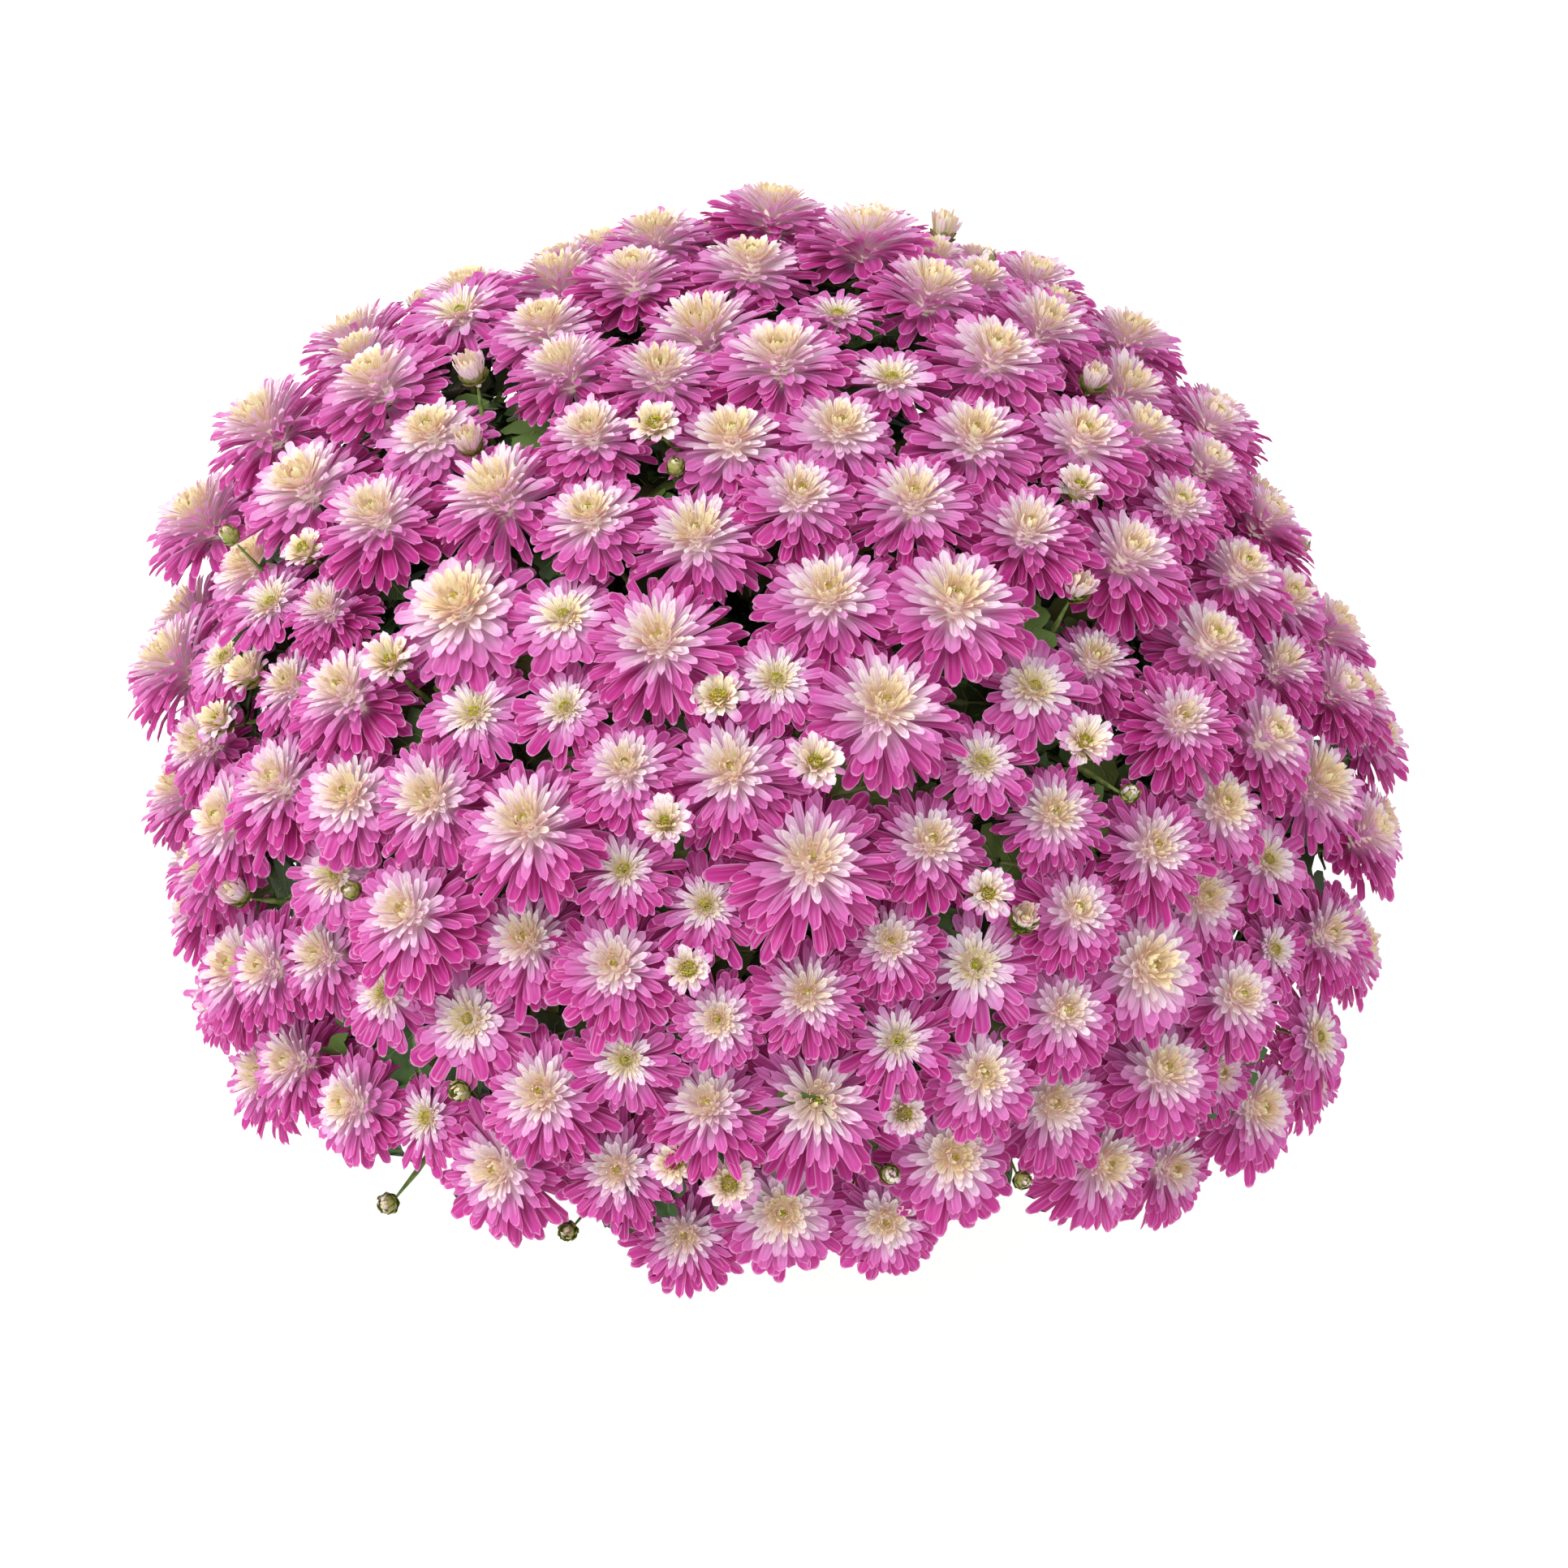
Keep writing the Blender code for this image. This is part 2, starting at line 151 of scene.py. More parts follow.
clay = Finish("terracotta", {"Roughness": 0.86, "Specular IOR Level": 0.25})
place = clay.own_place()
height_up = clay.add("SeparateXYZ", {}, {0: place}, 2)
cloud = clay.noise(place, 28.0, 5.0)
speck = clay.noise(place, 420.0, 3.0, 0.7)
body = clay.mix(cloud.rise(0.35, 0.68), tint(176, 96, 62), tint(198, 118, 80))
body = clay.mix(speck.rise(0.62, 0.74) * 0.45, body, tint(120, 62, 42))
salts = clay.noise(place, 46.0, 6.0, 0.72).rise(0.50, 0.70)
low_wall = height_up.rise(0.050, 0.004)
under_band = height_up.rise(0.088, 0.098) * height_up.rise(0.104, 0.099)
body = clay.mix(salts * (low_wall * 0.55 + under_band * 0.5 + 0.06), body, tint(222, 200, 180))
turned = {"Vector": place, "Scale": 95.0, "Distortion": 1.5, "Detail": 2.0}
rings = clay.add("TexWave", {"bands_direction": "Z"}, turned, 1)
clay.wear(body, 0.92 - salts * 0.1, rings * 0.25 + speck * 0.6 + cloud * 0.8, 0.0006, 0.7)
dress("pot", clay)


# Soil: dark peat compost, mounded a little at the middle. Crumbs, bits of bark and a few white
# grains of perlite lie loose on it, as they are left by watering.
SOIL_TOP = 0.112
SOIL_EDGE_R = 0.0780
SOIL_MOUND = 0.0062
CRUMBS = 620
GRAINS = 46


def unit(v):
    return v / np.linalg.norm(v, axis=-1, keepdims=True)


def piece(name, parts, finish, nodes=(), marks=(), smooth=True):
    """Adds one object made of several arrays of points and faces, in place of the given CAD nodes.

    Marks name the three numbers that each vertex carries for the materials.
    """
    points, faces, carried, start = [], [], [[] for _ in marks], 0
    for part in parts:
        points.append(part[0].reshape(-1, 3))
        faces.extend((part[1] + start).tolist())
        start += len(points[-1])
        for n in range(len(marks)):
            carried[n].append(part[2 + n].reshape(-1, 3))
    mesh = bpy.data.meshes.new(name)
    mesh.from_pydata(np.concatenate(points).tolist(), [], faces)
    for n, mark in enumerate(marks):
        attribute = mesh.attributes.new(mark, "FLOAT_VECTOR", "POINT")
        attribute.data.foreach_set("vector", np.concatenate(carried[n]).astype(np.float32).ravel())
    if smooth:
        mesh.shade_smooth()
    mesh.materials.append(finish.material)
    made = bpy.data.objects.new(name, mesh)
    bpy.context.scene.collection.objects.link(made)
    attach(made, "root")
    if nodes:
        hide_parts(*nodes)


def grid_faces(count, rows, cols, closed=False):
    """Quads of a number of like grids of points, whose columns may close to a tube."""
    row, col = np.meshgrid(np.arange(rows - 1), np.arange(cols if closed else cols - 1), indexing="ij")
    after = (col + 1) % cols
    here, beyond = row * cols, (row + 1) * cols
    quad = np.stack([here + col, here + after, beyond + after, beyond + col], -1)
    return (quad.reshape(1, -1, 4) + (np.arange(count) * rows * cols)[:, None, None]).reshape(-1, 4)


def crumbs(rng, where, size, sides=5):
    """Small lumps: each a ring of points between two tips, all knocked out of true."""
    count = len(where)
    turn = rng.uniform(0, 2 * math.pi, (count, 1)) + np.arange(sides) * 2 * math.pi / sides
    ring = np.stack([np.cos(turn), np.sin(turn), np.zeros_like(turn)], -1)
    ends = np.tile(np.array([[0, 0, -0.7], [0, 0, 0.7]]), (count, 1, 1))
    shape = np.concatenate([ring, ends], 1) * rng.uniform(0.6, 1.2, (count, sides + 2, 1))
    shape *= size[:, None, None] * rng.uniform(0.6, 1.3, (count, 1, 3))
    n = np.arange(sides)
    low = np.stack([(n + 1) % sides, n, np.full(sides, sides)], -1)
    high = np.stack([n, (n + 1) % sides, np.full(sides, sides + 1)], -1)
    faces = np.concatenate([low, high])[None] + (np.arange(count) * (sides + 2))[:, None, None]
    return shape + where[:, None], faces.reshape(-1, 3)


def soil_point(rng, count):
    """Points scattered evenly over the mound of the soil."""
    r = SOIL_EDGE_R * 0.97 * np.sqrt(rng.uniform(0.002, 1, count))
    a = rng.uniform(0, 2 * math.pi, count)
    top = SOIL_TOP + 0.003 - SOIL_MOUND * (r / SOIL_EDGE_R) ** 2
    return np.stack([r * np.cos(a), r * np.sin(a), top], -1)


compost = Finish("potting_soil", {"Roughness": 0.95, "Specular IOR Level": 0.2})
place = compost.own_place()
damp = compost.noise(place, 160.0, 5.0, 0.7)
dark = compost.mix(damp.rise(0.3, 0.7), tint(36, 25, 18), tint(84, 60, 42))
compost.wear(dark, 0.97 - damp * 0.25, damp, 0.002, 1.0)
dress("soil", compost)

perlite = Finish("perlite", {"Roughness": 0.9})
grain = perlite.noise(perlite.own_place(), 900.0)
chalky = perlite.mix(grain.rise(0.35, 0.7), tint(205, 200, 190), tint(242, 240, 235))
perlite.wear(chalky, None, grain, 0.0004)

scatter = np.random.RandomState(7)
lumps = crumbs(scatter, soil_point(scatter, CRUMBS), scatter.uniform(0.0012, 0.0038, CRUMBS))
piece("soil_crumbs", [lumps], compost, smooth=False)
on_top = soil_point(scatter, GRAINS) + [0, 0, 0.0012]
lumps = crumbs(scatter, on_top, scatter.uniform(0.0009, 0.0019, GRAINS))
piece("perlite_grains", [lumps], perlite, smooth=False)


# Flower heads: where each one grows on the cushion, its facing, width and kind. The listed ones
# stand out on the photographed side; the rest fill a packed spiral over the dome.

# Directions are given as bearing, from the front toward the right, and angle from straight up, in
# degrees. A swell of the dome has a direction, a share of the radius and its breadth in degrees.
HEART = np.array([0.0, 0.0, 0.150])
DOME_R = 0.2165
LOWEST = 99
FRONT_LIFT = 9
SWELLS = [(-101, 53, 0.100, 26), (140, 40, 0.035, 48), (80, 98, 0.070, 28)]
LARGE_HEADS = 232
LARGE_WIDTH = 0.0420
HEADS_BEHIND = 15
TILT_UP = 0.70
PACKING_STEPS = 120
YOUNG = ("cup", "bud", "side")
YOUNG_WIDTH = {"cup": 0.0150, "bud": 0.0085, "side": 0.0125}
HEAD_HEIGHT = {"full": 0.017, "open": 0.015, "cup": 0.013, "side": 0.012, "bud": 0.0085}
GOLDEN = math.pi * (3 - math.sqrt(5))
WIDEST = [
    (-15, 69), (4, 57), (30, 89), (-26, 58), (-26, 90), (2, 79), (36, 78), (15, 45), (-7, 9), (7, 33),
    (58, 41),
]
HANGING = [
    (-8, 96), (1, 92), (11, 92), (-13, 88), (-51, 92), (-60, 98), (-68, 95), (43, 101), (52, 97), (68, 105),
    (60, 84), (17, 86),
]
OPEN = [
    (-29, 38), (-24, 47), (-38, 52), (2, 41), (33, 46), (24, 51), (-9, 62), (-15, 60), (9, 75), (-48, 68),
    (-40, 76), (-11, 77), (-36, 90), (58, 83), (-73, 55), (-75, 61), (45, 15), (105, 8),
]
CUP = [
    (-73, 65), (-71, 49), (-69, 59), (-51, 51), (-24, 19), (-11, 53), (-8, 66), (-6, 83), (-6, 45), (-3, 87),
    (5, 50), (13, 83), (21, 63), (35, 52), (60, 33),
]
SIDE = [(-79, 28), (-68, 31), (-62, 77), (24, 67), (38, 88), (46, 40), (88, 31)]
BUD = [(-80, 53), (-44, 69), (-38, 101), (-29, 82), (-22, 22), (-19, 97), (12, 88), (23, 90), (39, 60)]


def toward(az, polar):
    """The unit vector of a bearing and an angle from straight up."""
    a, p = math.radians(az), math.radians(polar)
    return np.array([math.sin(p) * math.sin(a), -math.sin(p) * math.cos(a), math.cos(p)])


def place_heads():
    """Crown, facing, width and kind of every head: the listed ones, then a packed spiral."""
    rng = np.random.RandomState(417)
    kinds, dirs, widths = [], [], []
    for rows, kind, width in (
        (WIDEST, "full", 0.0515), (HANGING, "full", 0.041), (OPEN, "open", 0.039), (CUP, "cup", 0.0155),
        (SIDE, "side", 0.0125), (BUD, "bud", 0.0085),
    ):
        for az, polar in rows:
            dirs.append(toward(az, polar))
            kinds.append(kind)
            widths.append(width * rng.uniform(0.88, 1.08))
    fixed = len(dirs)
    low = math.cos(math.radians(LOWEST))
    # Behind, some young heads between the blooms.
    for i in range(HEADS_BEHIND):
        dirs.append(toward(rng.uniform(100, 260), rng.uniform(20, 96)))
        kinds.append(YOUNG[i % 3])
        widths.append(YOUNG_WIDTH[YOUNG[i % 3]])
    free = LARGE_HEADS - len(WIDEST) - len(HANGING) - len(OPEN)
    for i in range(LARGE_HEADS):
        z = 1 - (i + 0.5) / LARGE_HEADS * (1 - low)
        d = toward(math.degrees(i * GOLDEN), math.degrees(math.acos(z)))
        taken = max(d @ dirs[n] for n in range(fixed) if kinds[n] in ("full", "open"))
        if taken < math.cos(0.095) and free > 0:
            free -= 1
            dirs.append(unit(d + rng.normal(0, 0.035, 3)))
            kinds.append("open" if rng.rand() < 0.05 else "full")
            widths.append(float(np.clip(rng.normal(LARGE_WIDTH, 0.0050), 0.031, 0.050)))
    dirs, widths = np.array(dirs), np.array(widths)
    # Spread: neighbours closer than their widths allow push each other over the dome.
    ragged = np.clip(rng.normal(0, 2.6, len(dirs)), -4, 4.5)
    limit = LOWEST - FRONT_LIFT * np.clip(-dirs[:, 1], 0, 1) + ragged
    floor = np.cos(np.radians(limit))
    reach = (widths[:, None] + widths[None]) * 0.5 * 0.90 / DOME_R
    for step in range(PACKING_STEPS):
        diff = dirs[:, None] - dirs[None]
        gap = np.linalg.norm(diff, axis=2) + np.eye(len(dirs))
        close = (gap < reach) & ~np.eye(len(dirs), dtype=bool)
        push = (diff / gap[..., None] * np.where(close, reach - gap, 0)[..., None]).sum(axis=1)
        dirs[fixed:] += 0.30 * push[fixed:]
        dirs[:fixed] += 0.02 * push[:fixed]
        dirs[fixed:, 2] = np.maximum(dirs[fixed:, 2], floor[fixed:])
        dirs /= np.linalg.norm(dirs, axis=1)[:, None]
    radius = np.full(len(dirs), DOME_R)
    for az, polar, swell, spread in SWELLS:
        bump = np.arccos(np.clip(dirs @ toward(az, polar), -1, 1)) / math.radians(spread)
        radius += DOME_R * swell * np.exp(-bump ** 2)
    small = np.array([k in YOUNG for k in kinds])
    radius += np.where(small, 0.004, 0) + rng.normal(0, 0.0025, len(kinds))
    sunk = ~small & (rng.rand(len(kinds)) < 0.10) & (np.arange(len(kinds)) >= fixed)
    radius -= np.where(sunk, 0.009, 0)
    facing = dirs + np.array([0, 0, TILT_UP]) + rng.normal(0, 0.110, dirs.shape)
    facing /= np.linalg.norm(facing, axis=1)[:, None]
    return HEART + dirs * radius[:, None], facing, widths, kinds


crown, facing, width, kind = place_heads()
count = len(kind)
kind = np.array(kind)
base = crown - facing * np.array([HEAD_HEIGHT[k] for k in kind])[:, None]
bearing = unit(base - HEART)


# Sprays: heads that share one stalk. Each spray keeps to its own cone of directions from the
# heart of the plant, and its pedicels leave the stalk one above another.
SPRAYS = 34
SPRAY_COVER = 1.225
STALK_LOW = 0.118
STALK_HIGH = 0.172
sprays = np.array([
    toward(math.degrees(i * GOLDEN) + 20, math.degrees(math.acos(1 - (i + 0.5) / SPRAYS * SPRAY_COVER)))
    for i in range(SPRAYS)
])
for step in range(8):
    owner = np.argmax(bearing @ sprays.T, axis=1)
    for s in range(SPRAYS):
        sprays[s] = unit(bearing[owner == s].sum(axis=0))
owner = np.argmax(bearing @ sprays.T, axis=1)
foot = np.zeros((count, 3))
for s in range(SPRAYS):
    mine = np.nonzero(owner == s)[0]
    mine = mine[np.argsort(bearing[mine] @ sprays[s])]
    for n, i in enumerate(mine):
        climb = (STALK_HIGH - STALK_LOW - 0.005) * (n + 0.3) / len(mine)
        foot[i] = HEART + sprays[s] * (STALK_LOW + 0.004 + climb)


# Rooted stems: seven woody stems rise from the soil and fork into one leafy shoot for each
# spray. The wood is grey-brown at the foot and turns green and finely ridged higher up.
STEM_R = 0.0045
SHOOT_R = 0.0023
ROOT_RING = 0.034
OUTER_STEMS = 6


def tubes(path, radius, sides):
    """Round stems along a number of like paths, closed by a ring drawn in at each end."""
    run = unit(np.gradient(path, axis=1))
    flat = np.abs(run[..., 2:3]) < 0.9
    one = unit(np.cross(run, np.where(flat, [0.0, 0.0, 1.0], [1.0, 0.2, 0.0])))
    two = np.cross(run, one)
    turn = np.arange(sides) * 2 * math.pi / sides
    ring = np.cos(turn)[:, None] * one[:, :, None] + np.sin(turn)[:, None] * two[:, :, None]
    points = path[:, :, None] + ring * radius[:, :, None, None]
    rows = path.shape[1]
    marks = np.zeros(points.shape)
    marks[..., 0] = np.linspace(0, 1, rows)[None, :, None]
    marks[..., 1] = turn / math.pi - 1
    return points, grid_faces(len(path), rows, sides, closed=True), marks


def bent(start, end, sag, rows):
    """Paths from start to end that bow by sag at the middle."""
    t = np.linspace(0, 1, rows)[None, :, None]
    return start[:, None] * (1 - t) + end[:, None] * t + sag[:, None] * (4 * t * (1 - t))


def tapered(first, last, count, rows):
    """Radii from first to last, drawn in at both ends so that the tube looks closed."""
    r = np.tile(np.linspace(first, last, rows), (count, 1))
    r[:, 0] *= 0.3
    r[:, -1] *= 0.3
    return r


bark = Finish("stem_bark", {"Roughness": 0.7, "Specular IOR Level": 0.3})
along, _, _ = bark.mark("stem_place")
place = bark.own_place()
drawn_out = bark.add("VectorMath", {"operation": "MULTIPLY"}, {0: place, 1: (260, 260, 40)})
fibre = bark.noise(drawn_out, 1.0, 4.0)
wood = bark.mix(fibre.rise(0.3, 0.7), tint(86, 68, 46), tint(132, 112, 78))
green = bark.mix(fibre.rise(0.3, 0.7), tint(70, 96, 42), tint(112, 138, 66))
bark.wear(bark.mix(along.rise(0.25, 0.9), wood, green), None, fibre, 0.0008, 0.8)

outer = [toward(360 / OUTER_STEMS * i + 10, 72) for i in range(OUTER_STEMS)]
roots = np.array([[0, 0, 1.0]] + outer)
holes = [(0.0, 0.0)] + [tuple(ROOT_RING * unit(r[:2])) for r in roots[1:]]
stem_of = np.argmax(sprays @ roots.T, axis=1)
split = np.array([HEART + r * (0.058 if k else 0.050) for k, r in enumerate(roots)])
trunks, shoots, skirts = [], [], []
for k in range(len(roots)):
    x, y = holes[k]
    ground = np.array([x, y, SOIL_TOP + 0.006])
    buried = np.array([[x, y, SOIL_TOP - 0.026]])
    trunk = bent(buried, split[k : k + 1] + unit(split[k] - ground) * 0.004, np.zeros((1, 3)), 9)
    trunk[0, 1:5] = np.linspace([x, y, SOIL_TOP - 0.012], ground + (split[k] - ground) * 0.18, 4)
    trunks.append(trunk)
    for s in np.nonzero(stem_of == k)[0]:
        shoots.append((k, split[k], s))
    for swing in (-15, 15) if k else ():
        level = toward(360 / OUTER_STEMS * (k - 1) + 10 + swing, 90)
        over = HEART + level * 0.103 + np.array([0, 0, -0.015])
        skirts.append((k, level, over, HEART + level * 0.119 + np.array([0, 0, -0.045])))


# Leaves: soft, matt, mid-green and lobed like an oak's, with blunt teeth, a pale midrib and side
# veins. They stand all along the shoots, fill the cushion under the blooms and show in its gaps.

# The edge is half a leaf's outline, from foot to tip, as shares of its length.
LEAF_EDGE = np.array([
    (0.00, 0.012), (0.12, 0.014), (0.18, 0.05), (0.22, 0.15), (0.28, 0.205), (0.34, 0.20), (0.365, 0.165),
    (0.385, 0.125), (0.43, 0.21), (0.49, 0.29), (0.555, 0.325), (0.60, 0.285), (0.62, 0.23), (0.635, 0.165),
    (0.69, 0.225), (0.755, 0.25), (0.81, 0.215), (0.835, 0.15), (0.89, 0.155), (0.95, 0.10), (1.0, 0.012),
])
LEAF_RIB = np.linspace(0, 1, len(LEAF_EDGE)) ** 1.15 * 0.97
LARGE_ACROSS = (-1.0, -0.55, 0.0, 0.55, 1.0)
SMALL_ACROSS = (-1.0, 0.0, 1.0)


def leaves(rng, start, heading, up, length, across):
    """Lobed leaves as grids from foot to tip, with points across at shares of half the breadth."""
    n = len(start)
    heading = unit(heading)
    wide = unit(np.cross(up, heading))
    lift = np.cross(heading, wide)
    share = np.abs(across)
    x = LEAF_RIB[:, None] * (1 - share) + LEAF_EDGE[:, :1] * share
    y = LEAF_EDGE[:, 1:] * across
    x = np.repeat(x[None], n, 0)
    y = np.repeat(y[None], n, 0) * rng.uniform(0.85, 1.25, (n, 1, 1))
    droop, fold = rng.uniform(0.05, 0.38, (n, 1, 1)), rng.uniform(0.05, 0.45, (n, 1, 1))
    wave = 0.035 * np.sin(x * rng.uniform(9, 15, (n, 1, 1)) + rng.uniform(0, 6, (n, 1, 1))) * share ** 2
    z = fold * np.abs(y) - droop * x * x + wave * (y > 0) - wave * (y < 0)
    z = z + 0.02 * rng.normal(0, 1, y.shape) * share
    sway = rng.normal(0, 0.10, (n, 1, 1)) * x * x
    length = length[:, None, None, None]
    points = start[:, None, None] + length * (
        x[..., None] * heading[:, None, None] + (y + sway)[..., None] * wide[:, None, None]
        + z[..., None] * lift[:, None, None]
    )
    marks = np.zeros(points.shape)
    marks[..., 0] = LEAF_RIB[None, :, None]
    marks[..., 1] = across
    marks[..., 2] = rng.uniform(0, 1, (n, 1, 1))
    return points, grid_faces(n, len(LEAF_EDGE), len(across)), marks


blade = Finish("leaf_green", {"Roughness": 0.55, "Specular IOR Level": 0.35})
along, across, own = blade.mark("leaf_place")
place = blade.own_place()
edge = abs(across)
mottle = blade.noise(place, 120.0, 4.0)
rib = edge.rise(0.10, 0.02)
between_veins = blade.add("Math", {"operation": "PINGPONG"}, {0: along - edge * 0.16, 1: 0.085})
side_vein = abs(between_veins).rise(0.014, 0.003)
vein = blade.add("Math", {"operation": "MAXIMUM"}, {0: rib, 1: side_vein * edge.rise(1.0, 0.3) * 0.7})
green = blade.mix(mottle.rise(0.3, 0.75), tint(36, 64, 26), tint(62, 96, 40))
green = blade.mix(own.rise(0.55, 1.0) * 0.6, green, tint(112, 142, 62))
green = blade.mix(vein * 0.55, green, tint(140, 165, 96))
blade.wear(green, 0.68 - mottle * 0.2, mottle * 0.25 - vein * 0.9, 0.0008, 0.9)



def round_about(rng, where):
    """The way out from the heart at a point, and a way square to it that is drawn at random."""
    out = unit(where - HEART)
    spin = rng.uniform(0, 2 * math.pi)
    one = unit(np.cross(out, [0.3, -0.2, 0.9] if abs(out[2]) < 0.9 else [1, 0, 0]))
    return out, math.cos(spin) * one + math.sin(spin) * np.cross(out, one)


grow = np.random.RandomState(88)
large, small = ([[] for _ in roots] for _ in range(2))
for k, start, s in shoots:
    end = HEART + sprays[s] * (STALK_LOW - 0.0020)
    for t in (0.45, 0.88) if sprays[s][2] > 0.60 else (0.80,):
        where = start + (end - start) * t
        out, level_spin = round_about(grow, where)
        large[k].append((where, level_spin + 0.25 * out, out, grow.uniform(0.040, 0.052)))
for k, level, over, end in skirts:
    beside = np.array([-level[1], level[0], 0])
    for t, swerve in ((1.0, -0.35), (0.85, 0.65)):
        heading = level * math.cos(swerve) + beside * math.sin(swerve) + np.array([0, 0, -0.45])
        up = np.array([0, 0, 1.0]) + 0.4 * level
        large[k].append((over + (end - over) * t, heading, up, grow.uniform(0.042, 0.052)))
# More leaves up the shoots and among the pedicels, out to just under the blooms.
LEAVES_TO_SPRAY = 20
MORE_TO_LOW_SPRAY = 10
sprout = np.random.RandomState(12)
for s in range(SPRAYS):
    mine = np.nonzero(owner == s)[0]
    for n in range(LEAVES_TO_SPRAY + (MORE_TO_LOW_SPRAY if sprays[s][2] < 0.1 else 0)):
        i = mine[sprout.randint(len(mine))]
        t = sprout.uniform(-0.9, 0.9)
        target = base[i] if t > 0 else HEART + 0.075 * sprays[s]
        where = foot[i] + (target - foot[i]) * abs(t)
        out, level_spin = round_about(sprout, where)
        heading = level_spin + sprout.uniform(-0.25, 0.35) * out
        small[stem_of[s]].append((where, heading, out, sprout.uniform(0.034, 0.050)))
# And one close under each gap between two neighbouring heads.
apart = np.linalg.norm(base[:, None] - base[None], axis=2) + np.eye(count)
for i in range(count):
    for j in np.argsort(apart[i])[[2, 4]]:
        out = unit((base[i] + base[j]) / 2 - HEART)
        length = sprout.uniform(0.032, 0.044)
        heading = unit(np.cross(out, base[i] - base[j])) + sprout.normal(0, 0.3, 3)
        where = (base[i] + base[j]) / 2 - out * sprout.uniform(0.006, 0.020) - unit(heading) * length * 0.5
        small[stem_of[owner[i]]].append((where, heading, out, length))
for k in range(len(roots)):
    node = "leafy_stem_%d" % (k + 1)
    mine = [(start, HEART + sprays[s] * (STALK_LOW + 0.004)) for owner_k, start, s in shoots if owner_k == k]
    starts, tips = (np.array([pair[n] for pair in mine]) for n in (0, 1))
    parts = [tubes(trunks[k], tapered(STEM_R, STEM_R * 0.78, 1, 9), 10)]
    sag = sprout.normal(0, 0.0012, starts.shape)
    slimmer = tapered(SHOOT_R * 1.2, SHOOT_R * 0.9, len(mine), 7)
    parts.append(tubes(bent(starts, tips, sag, 7), slimmer, 8))
    for owner_k, level, over, end in skirts:
        if owner_k == k:
            rising = (split[k] + over) / 2 + [0, 0, 0.006]
            path = np.stack([split[k], rising, over, (over + end) / 2 + level * 0.003, end])
            parts.append(tubes(path[None], tapered(SHOOT_R * 1.1, SHOOT_R * 0.8, 1, 5), 8))
    piece("leafy_stem_wood_%d" % (k + 1), parts, bark, [node], ["stem_place"])
    parts = []
    for rows, across in ((large[k], LARGE_ACROSS), (small[k], SMALL_ACROSS)):
        where, heading, up, length = (np.array([row[n] for row in rows]) for n in range(4))
        parts.append(leaves(sprout, where, heading, up, length, np.array(across)))
    piece("leafy_stem_leaves_%d" % (k + 1), parts, blade, [node], ["leaf_place"])


# Blooms: double heads, some fifteen petals to a ring and up to twelve rings deep, all fixed on a
# small green base. The outer petals are broad, grooved and magenta pink; the inner ones are shorter
# and paler, down to narrow cream ones that close over the eye. Cups and buds hold them furled.

# A grid of points gives each petal its outline: how far along its rows lie, their breadth, how far
# their sides fall back from a round tip, and the number of points across.
PETAL_GRIDS = {
    "broad": ((0, 0.30, 0.62, 0.89, 1.0), (0.26, 0.58, 0.95, 0.95, 0.62), (0, 0, 0, 0.10, 0.55), 5),
    "middle": ((0, 0.35, 0.70, 0.92, 1.0), (0.45, 0.74, 1.0, 0.90, 0.55), (0, 0, 0, 0.12, 0.6), 3),
    "slim": ((0, 0.45, 0.85, 1.0), (0.6, 0.92, 1.0, 0.58), (0, 0, 0.05, 0.6), 3),
}
# A ring of petals: their number, radius and height of their tips and of their feet, bow in
# degrees (outward, or inward below zero), breadth, furl at foot and at tip, place from rim (0) to
# heart (1) of the head, and grid. Lengths are shares of half the head's width.
FULL_RINGS = [
    (16, 1.02, -0.10, 0.05, -0.04, 26, 0.27, 0.9, 0.30, 0.00, "middle"),
    (18, 1.12, 0.10, 0.06, 0.00, 18, 0.265, 0.9, 0.30, 0.00, "broad"),
    (17, 1.06, 0.27, 0.07, 0.05, 18, 0.255, 0.9, 0.35, 0.07, "broad"),
    (17, 0.96, 0.41, 0.09, 0.11, 17, 0.23, 0.9, 0.45, 0.16, "middle"),
    (17, 0.84, 0.53, 0.11, 0.18, 14, 0.195, 1.0, 0.6, 0.26, "middle"),
    (17, 0.72, 0.62, 0.13, 0.26, 10, 0.165, 1.0, 0.8, 0.38, "middle"),
    (16, 0.59, 0.69, 0.14, 0.35, 6, 0.15, 1.1, 0.9, 0.51, "slim"),
    (16, 0.47, 0.74, 0.14, 0.44, 2, 0.135, 1.1, 0.9, 0.64, "slim"),
    (14, 0.36, 0.78, 0.12, 0.49, -10, 0.125, 1.1, 0.8, 0.76, "slim"),
    (12, 0.25, 0.80, 0.10, 0.53, -28, 0.115, 1.1, 0.7, 0.87, "slim"),
    (9, 0.14, 0.80, 0.07, 0.56, -48, 0.105, 1.1, 0.6, 0.97, "slim"),
    (6, 0.06, 0.76, 0.04, 0.57, -56, 0.09, 1.1, 0.6, 1.02, "slim"),
]
